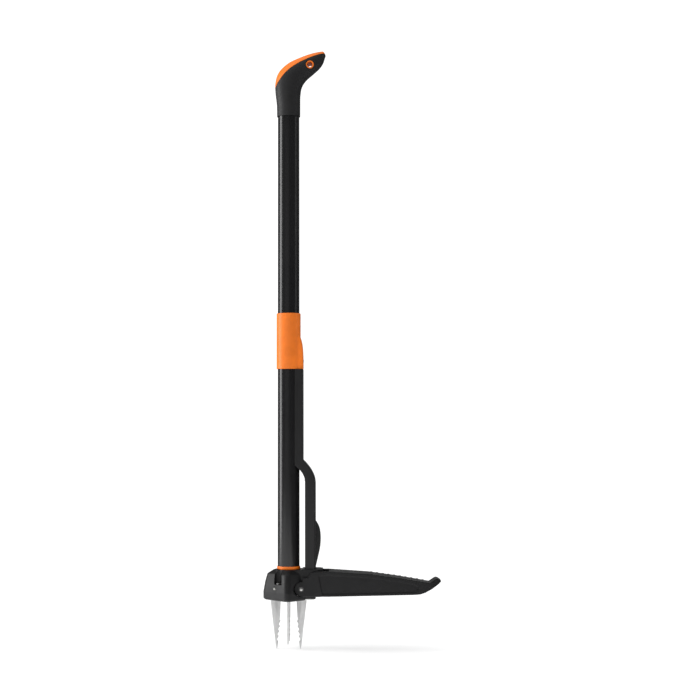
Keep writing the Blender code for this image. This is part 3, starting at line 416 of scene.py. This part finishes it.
def ring_mesh(name, rings, closed=False):
    """Skins rings of equal length; closes the ends, or joins the last to the first when closed."""
    bm = bmesh.new()
    loops = [[bm.verts.new(point) for point in ring] for ring in rings]
    count = len(loops[0])
    pairs = list(zip(loops, loops[1:]))
    if closed:
        pairs.append((loops[-1], loops[0]))
    for low, high in pairs:
        for i in range(count):
            after = (i + 1) % count
            bm.faces.new((low[i], low[after], high[after], high[i]))
    if not closed:
        bm.faces.new(loops[0])
        bm.faces.new(loops[-1])
    bmesh.ops.recalc_face_normals(bm, faces=bm.faces[:])
    return to_mesh(bm, name)


def rounded(profile, radius, steps=4):
    """A closed polygon with its corners turned into arcs, smaller ones where a side is short."""
    points = []
    for i, point in enumerate(profile):
        corner = Vector(point)
        back = Vector(profile[i - 1]) - corner
        ahead = Vector(profile[(i + 1) % len(profile)]) - corner
        reach = min(radius / math.tan(back.angle(ahead) / 2), back.length * 0.45,
                    ahead.length * 0.45)
        start = corner + back.normalized() * reach
        end = corner + ahead.normalized() * reach
        for k in range(steps + 1):
            t = k / steps
            points.append(tuple(start * (1 - t) ** 2 + corner * 2 * t * (1 - t) + end * t ** 2))
    return points


def placed(origin, direction):
    """The matrix that puts Z along direction and zero at origin."""
    turn = Vector((0, 0, 1)).rotation_difference(Vector(direction)).to_matrix().to_4x4()
    return Matrix.Translation(origin) @ turn


def lathe(name, profile, count, origin=(0, 0, 0), direction=(0, 0, 1)):
    """Turns a closed (radius, height) profile round an axis through origin along direction."""
    place = placed(origin, direction)
    rings = [[place @ Vector((r * math.cos(angle), r * math.sin(angle), h)) for r, h in profile]
             for angle in circle(count)]
    bm = bmesh.new()
    bm.from_mesh(ring_mesh(name, rings, closed=True))
    bmesh.ops.remove_doubles(bm, verts=bm.verts[:], dist=WELD)
    bmesh.ops.dissolve_degenerate(bm, edges=bm.edges[:], dist=WELD)
    bmesh.ops.recalc_face_normals(bm, faces=bm.faces[:])
    return to_mesh(bm, name)


def rod(name, radius, low, high, count, origin=(0, 0, 0), direction=(0, 0, 1)):
    """A plain rod from low to high along its axis, for cutting bores."""
    return lathe(name, [(0, low), (radius, low), (radius, high), (0, high)], count, origin,
                 direction)


def box_mesh(name, x, y, z):
    outline = [(x[0], y[0]), (x[1], y[0]), (x[1], y[1]), (x[0], y[1])]
    return ring_mesh(name, [[(u, v, height) for u, v in outline] for height in z])


def scratch(mesh):
    """A temporary object for modifiers."""
    made = bpy.data.objects.new("scratch", mesh)
    collection.objects.link(made)
    return made


def baked(made, name, sharp=SHARP_ANGLE):
    """The object's mesh with its modifiers applied; the object is removed."""
    depsgraph = bpy.context.evaluated_depsgraph_get()
    mesh = bpy.data.meshes.new_from_object(made.evaluated_get(depsgraph))
    bpy.data.objects.remove(made)
    mesh.name = name
    return shaded(mesh, sharp)


def cut(name, mesh, tools):
    """The mesh less each of the tools."""
    target = scratch(mesh)
    cutters = [scratch(tool) for tool in tools]
    for cutter in cutters:
        step = target.modifiers.new("cut", "BOOLEAN")
        step.operation = "DIFFERENCE"
        step.solver = "EXACT"
        step.object = cutter
    result = baked(target, name)
    for cutter in cutters:
        bpy.data.objects.remove(cutter)
    return result


def cad_copy(node):
    """A welded copy of a CAD node's mesh, with flat areas as single faces."""
    bm = bmesh.new()
    bm.from_mesh(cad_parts[node].data)
    bmesh.ops.remove_doubles(bm, verts=bm.verts[:], dist=CAD_WELD)
    bmesh.ops.dissolve_limit(bm, angle_limit=math.radians(FLAT_ANGLE), verts=bm.verts[:],
                             edges=bm.edges[:])
    bmesh.ops.recalc_face_normals(bm, faces=bm.faces[:])
    return to_mesh(bm, node)


def eased(mesh, width, segments, angle=32):
    """Rounds the edges of a mesh that are sharper than an angle in degrees."""
    made = scratch(mesh)
    step = made.modifiers.new("ease", "BEVEL")
    step.width = width
    step.segments = segments
    step.limit_method = "ANGLE"
    step.angle_limit = math.radians(angle)
    step.miter_outer = "MITER_ARC"
    return baked(made, mesh.name, sharp=50)


def moulded(mesh, voxel, rounds, keep):
    """One skin over a solid, with soft edges and fillets as a moulding has."""
    made = scratch(mesh)
    skin = made.modifiers.new("skin", "REMESH")
    skin.mode = "VOXEL"
    skin.voxel_size = voxel
    soften = made.modifiers.new("soften", "SMOOTH")
    soften.factor = 0.5
    soften.iterations = rounds
    thin = made.modifiers.new("thin", "DECIMATE")
    thin.ratio = keep
    return baked(made, mesh.name, sharp=180)


def smooth_path(points, per_span):
    """Catmull-Rom points through the given ones, per_span to each stretch."""
    path = []
    last = len(points) - 1
    for i in range(last):
        before, start, end, after = (Vector(points[j])
                                     for j in (max(i - 1, 0), i, i + 1, min(i + 2, last)))
        for step in range(per_span):
            t = step / per_span
            path.append(0.5 * (2 * start + (end - before) * t
                               + (2 * before - 5 * start + 4 * end - after) * t * t
                               + (3 * start - before - 3 * end + after) * t ** 3))
    path.append(Vector(points[-1]))
    return path


def piece(name, mesh, slot, body, node):
    """An object that rides on a body, has a slot's look and stands for a CAD node."""
    made = bpy.data.objects.new(name, mesh)
    collection.objects.link(made)
    mesh.materials.clear()
    mesh.materials.append(LOOKS[slot])
    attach(made, body)
    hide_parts(node)
    return made


# ---------------------------------------------------------------- shaft, ring and sleeve
def make_shaft():
    low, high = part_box("shaft_tube")
    inner, outer = high.x - TUBE_WALL, high.x
    profile = rounded([(inner, low.z), (outer, low.z), (outer, high.z), (inner, high.z)], TUBE_LIP)
    piece("shaft_coated_tube", lathe("shaft_coated_tube", profile, 160), "tube_black", "frame",
          "shaft_tube")


def make_base_ring():
    low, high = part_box("base_ring")
    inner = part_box("shaft_tube")[1].x + RING_PLAY
    outer = high.x
    middle = (low.z + high.z) / 2
    bulge = [(outer - RING_BULGE, low.z), *((outer, middle + shift) for shift in RING_BELT),
             (outer - RING_BULGE, high.z)]
    profile = rounded([(inner, low.z), *bulge, (inner, high.z)], RING_ROUNDING, 5)
    piece("base_ring_bead", lathe("base_ring_bead", profile, 128), "orange_trim", "frame",
          "base_ring")


def swelling_reach(share):
    """How far the sleeve's swelling reaches along +X, from its foot (0) to where it fades (1)."""
    left = math.sqrt(max(0.0, 1.0 - max(0.0, share) ** SWELLING_FADE))
    return SWELLING_END + (SWELLING_FOOT - SWELLING_END) * left


def sleeve_radius(angle, height, round_radius):
    """Outer radius of the sleeve: a tube softly joined to a rounded box on its +X side."""
    along, across = math.cos(angle), math.sin(angle)
    if along <= SWELLING_SIDE:
        return round_radius
    power = SWELLING_SQUARENESS
    reach = swelling_reach(height / SWELLING_HEIGHT)
    box = ((along / reach) ** power + abs(across / SWELLING_HALF_WIDTH) ** power) ** (-1 / power)
    gap = SWELLING_BLEND
    mix = min(1.0, max(0.0, 0.5 + (box - round_radius) / (2 * gap)))
    return round_radius * (1 - mix) + box * mix + gap * mix * (1 - mix)


def make_sleeve():
    low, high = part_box("ejector_sleeve")
    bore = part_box("shaft_tube")[1].x + SLEEVE_PLAY
    edge = SLEEVE_EDGE
    straight = high.z - low.z - 2 * edge
    heights = [low.z + edge + straight * i / SLEEVE_STEPS for i in range(SLEEVE_STEPS + 1)]
    arc = [(edge * (1 - math.sin(a)), edge * (1 - math.cos(a)))
           for a in (math.radians(degrees) for degrees in (90, 67.5, 45, 22.5))]
    levels = [*((low.z + rise, inset) for rise, inset in arc), *((h, 0.0) for h in heights),
              *((high.z - drop, inset) for drop, inset in reversed(arc))]
    rings = []
    for height, inset in levels:
        radii = [(angle, sleeve_radius(angle, height - low.z, -low.x) - inset)
                 for angle in circle(SLEEVE_COUNT)]
        rings.append([(r * math.cos(angle), r * math.sin(angle), height) for angle, r in radii])
    for height in (high.z, low.z):
        rings.append([(bore * math.cos(angle), bore * math.sin(angle), height)
                      for angle in circle(SLEEVE_COUNT)])
    shell = ring_mesh("ejector_sleeve_shell", rings, closed=True)
    room_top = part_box("ejector_bar")[1].z + SLEEVE_PLAY
    room = box_mesh("tongue_room", TONGUE_ROOM_X, TONGUE_ROOM_Y, (low.z - CUT_PAST, room_top))
    screw_low, screw_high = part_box("sleeve_screw")
    screw_z = (screw_low.z + screw_high.z) / 2
    outwards = (1, 0, 0)
    recess = rod("screw_recess", RECESS_RADIUS, 0, CUT_PAST, 48, (RECESS_X, 0, screw_z), outwards)
    hole = rod("screw_hole", HOLE_RADIUS, 0, CUT_PAST, 32, (HOLE_X, 0, screw_z), outwards)
    shell = cut("ejector_sleeve_shell", shell, [room, recess, hole])
    piece("ejector_sleeve_shell", eased(shell, *SLEEVE_EASE, angle=50), "orange_trim", "ejector",
          "ejector_sleeve")


# ---------------------------------------------------------------- handle
def handle_blank():
    """The handle's whole outside, as rings that swing from level to upright."""
    back = smooth_path(HANDLE_BACK, HANDLE_STEPS)
    front = smooth_path(HANDLE_FRONT, HANDLE_STEPS)
    widths = smooth_path([(width, 0.0) for width in HANDLE_HALF_WIDTH], HANDLE_STEPS)
    rings = []
    for rear, fore, (width, _) in zip(back, front, widths):
        middle = Vector(((rear.x + fore.x) / 2, 0, (rear.y + fore.y) / 2)) * MM
        reach = Vector(((fore.x - rear.x) / 2, 0, (fore.y - rear.y) / 2)) * MM
        rings.append([middle + reach * math.cos(a) + Vector((0, width * MM * math.sin(a), 0))
                      for a in circle(HANDLE_COUNT)])
    nose = rings[-1]
    centre = sum(nose, Vector()) / HANDLE_COUNT
    ahead = (centre - sum(rings[-2], Vector()) / HANDLE_COUNT).normalized()
    for push, scale in NOSE_ROUNDING:
        rings.append([centre + ahead * push * MM + (point - centre) * scale for point in nose])
    return ring_mesh("handle_blank", rings)


def beyond_seam(name, far, shift):
    """Everything from the seam between grip and cap to the height far; shift moves the seam."""
    seam = [(point.x * MM, point.y * MM + shift) for point in smooth_path(CAP_SEAM, SEAM_STEPS)]
    outline = [*seam, (seam[-1][0], far), (seam[0][0], far)]
    ends = (-BESIDE_HANDLE, BESIDE_HANDLE)
    return ring_mesh(name, [[(x, y, z) for x, z in outline] for y in ends])


def hanging_hole():
    """Centre of the hanging hole in the XZ plane."""
    low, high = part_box("hang_grommet")
    return (low.x + high.x) / 2, (low.z + high.z) / 2


def make_handle():
    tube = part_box("shaft_tube")[1]
    x, z = hanging_hole()
    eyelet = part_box("hang_grommet")[1].x - x
    grip_gap, cap_gap = SEAM_GAP
    tube_room = rod("tube_room", tube.x + BORE_PLAY, BELOW_HANDLE, tube.z + TUBE_END_PLAY, 96)
    eyelet_room = rod("eyelet_room", eyelet + BORE_PLAY, -BESIDE_HANDLE, BESIDE_HANDLE, 64,
                      (x, 0, z), (0, 1, 0))
    grip = cut("handle_grip_moulding", handle_blank(),
               [beyond_seam("above", ABOVE_HANDLE, grip_gap), tube_room, eyelet_room])
    piece("handle_grip_moulding", moulded(grip, *GRIP_SKIN), "grip_black", "frame", "handle_grip")
    cap = cut("handle_cap_moulding", handle_blank(), [beyond_seam("below", BELOW_HANDLE, cap_gap)])
    piece("handle_cap_moulding", moulded(cap, *CAP_SKIN), "orange_trim", "frame", "handle_cap")


def make_grommet():
    x, z = hanging_hole()
    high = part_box("hang_grommet")[1]
    outer, half = high.x - x, high.y
    profile = rounded([(EYELET_BORE, -half), (outer, -half), (outer, half), (EYELET_BORE, half)],
                      EYELET_ROUNDING, 5)
    piece("hang_grommet_eyelet", lathe("hang_grommet_eyelet", profile, 96, (x, 0, z), (0, 1, 0)),
          "orange_trim", "frame", "hang_grommet")


# ---------------------------------------------------------------- head, pedal and ejector bar
def make_head():
    piece("head_housing_moulding", moulded(cad_copy("head_housing"), *HEAD_SKIN), "head_black",
          "frame", "head_housing")


def make_pedal():
    piece("pedal_moulding", moulded(cad_copy("pedal"), *PEDAL_SKIN), "pedal_black", "pedal_arm",
          "pedal")


def make_bar():
    piece("ejector_bar_moulding", moulded(cad_copy("ejector_bar"), *BAR_SKIN), "bar_black",
          "ejector", "ejector_bar")
    piece("bar_fin_moulding", eased(cad_copy("bar_fin"), *FIN_EASE), "bar_black", "ejector",
          "bar_fin")


# ---------------------------------------------------------------- steel and hidden pieces
def make_claws():
    for side in ("west", "east", "north", "south"):
        piece(f"claw_{side}_blade", eased(cad_copy(f"claw_{side}"), *CLAW_EASE), "claw_steel",
              f"{side}_claw", f"claw_{side}")


def cross_recess(origin, direction, size, depth):
    """The two crossed bars of a screw recess, as cutters that widen outwards."""
    place = placed(origin, direction)
    bars = []
    for long, short in ((size, size * RECESS_ARM), (size * RECESS_ARM, size)):
        outline = [(-long, -short), (long, -short), (long, short), (-long, short)]
        rings = [[place @ Vector((u * scale, v * scale, w)) for u, v in outline]
                 for w, scale in zip((-depth, RECESS_RISE), RECESS_FLARE)]
        bars.append(ring_mesh("recess", rings))
    return bars


def make_screw(node, body, slot, radius, crown, origin, direction):
    """A pan head with a cross recess; origin is on its seat and direction points outwards."""
    shank = radius * SHANK_SHARE
    profile = [(0, -SHANK_LENGTH), (shank, -SHANK_LENGTH), (shank, 0), (radius, 0),
               (radius, crown * RIM_SHARE)]
    profile += [(radius * math.cos(a), crown * (RIM_SHARE + (1 - RIM_SHARE) * math.sin(a)))
                for a in (math.radians(12 * k) for k in range(1, 7))]
    profile += [(0, crown)]
    head = lathe(f"{node}_turned", profile, 64, origin, direction)
    tip = Vector(origin) + Vector(direction) * crown
    cross = cross_recess(tip, direction, radius * RECESS_SIZE, crown * RECESS_DEPTH)
    piece(f"{node}_turned", cut(f"{node}_turned", head, cross), slot, body, node)


def make_screws():
    for node in ("head_screw_front", "head_screw_rear"):
        low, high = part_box(node)
        centre = (low + high) / 2
        seat = (centre.x, centre.y, high.z - HEAD_SCREW_CROWN)
        make_screw(node, "frame", "spring_steel", (high.x - low.x) / 2, HEAD_SCREW_CROWN, seat,
                   (0, 0, 1))
    low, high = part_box("sleeve_screw")
    seat = (high.x - SLEEVE_SCREW_CROWN, 0, (low.z + high.z) / 2)
    make_screw("sleeve_screw", "ejector", "zinc_steel", (high.z - low.z) / 2, SLEEVE_SCREW_CROWN,
               seat, (1, 0, 0))


def make_small_parts():
    """Rivets, pins, washers, clip, plates and levers, with their edges rounded."""
    rivets = [("frame", "handle_rivet"), ("ejector", "fin_rivet_upper"),
              ("ejector", "fin_rivet_lower"), ("ejector", "plate_rivet_front"),
              ("ejector", "plate_rivet_rear")]
    turned = [("frame", node)
              for node in ("west_pin", "north_pin", "south_pin", "pedal_axle", "centre_bolt")]
    plates = [("frame", "head_base_plate"), ("ejector", "ejector_plate"),
              ("pedal_arm", "pedal_lever_front"), ("pedal_arm", "pedal_lever_rear")]
    for body, node in rivets + turned + plates:
        piece(f"{node}_finished", eased(cad_copy(node), *STEEL_EASE), "zinc_steel", body, node)
    # The front washer's dark nylon paints the ring of shade round the axle's head, where a
    # counterbore would lie in shadow
    for node, slot in (("axle_clip", "spring_steel"), ("axle_washer_front", "nylon"),
                       ("axle_washer_rear", "nylon")):
        piece(f"{node}_finished", eased(cad_copy(node), *CLIP_EASE), slot, "frame", node)


def make_spring():
    """A round-wire coil between the base plate and the driver."""
    low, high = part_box("return_spring")
    wire = SPRING_WIRE
    radius = high.x - wire
    steps = SPRING_TURNS * SPRING_STEPS
    rings = []
    for i in range(steps + 1):
        angle = 2 * math.pi * i / SPRING_STEPS
        outward = Vector((math.cos(angle), math.sin(angle), 0))
        climb = (high.z - low.z - 2 * wire) * i / steps
        centre = outward * radius + Vector((0, 0, low.z + wire + climb))
        rings.append([centre + outward * wire * math.cos(a) + Vector((0, 0, wire * math.sin(a)))
                      for a in circle(WIRE_SIDES)])
    spring = piece("return_spring_coil", ring_mesh("return_spring_coil", rings), "spring_steel",
                   "frame", "return_spring")
    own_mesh(spring)


def make_hidden():
    """CAD nodes whose shape is kept and that only get their material."""
    for node in ("shaft_plug", "claw_driver", "west_spacer_front", "west_spacer_rear",
                 "east_spacer_front", "east_spacer_rear"):
        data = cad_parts[node].data
        data.materials.clear()
        data.materials.append(LOOKS["nylon"])


# ---------------------------------------------------------------- everything
make_camera()
make_studio()
LOOKS = make_looks()
for make in (make_shaft, make_base_ring, make_sleeve, make_handle, make_grommet, make_head,
             make_pedal, make_bar, make_claws, make_screws, make_small_parts, make_spring,
             make_hidden):
    make()
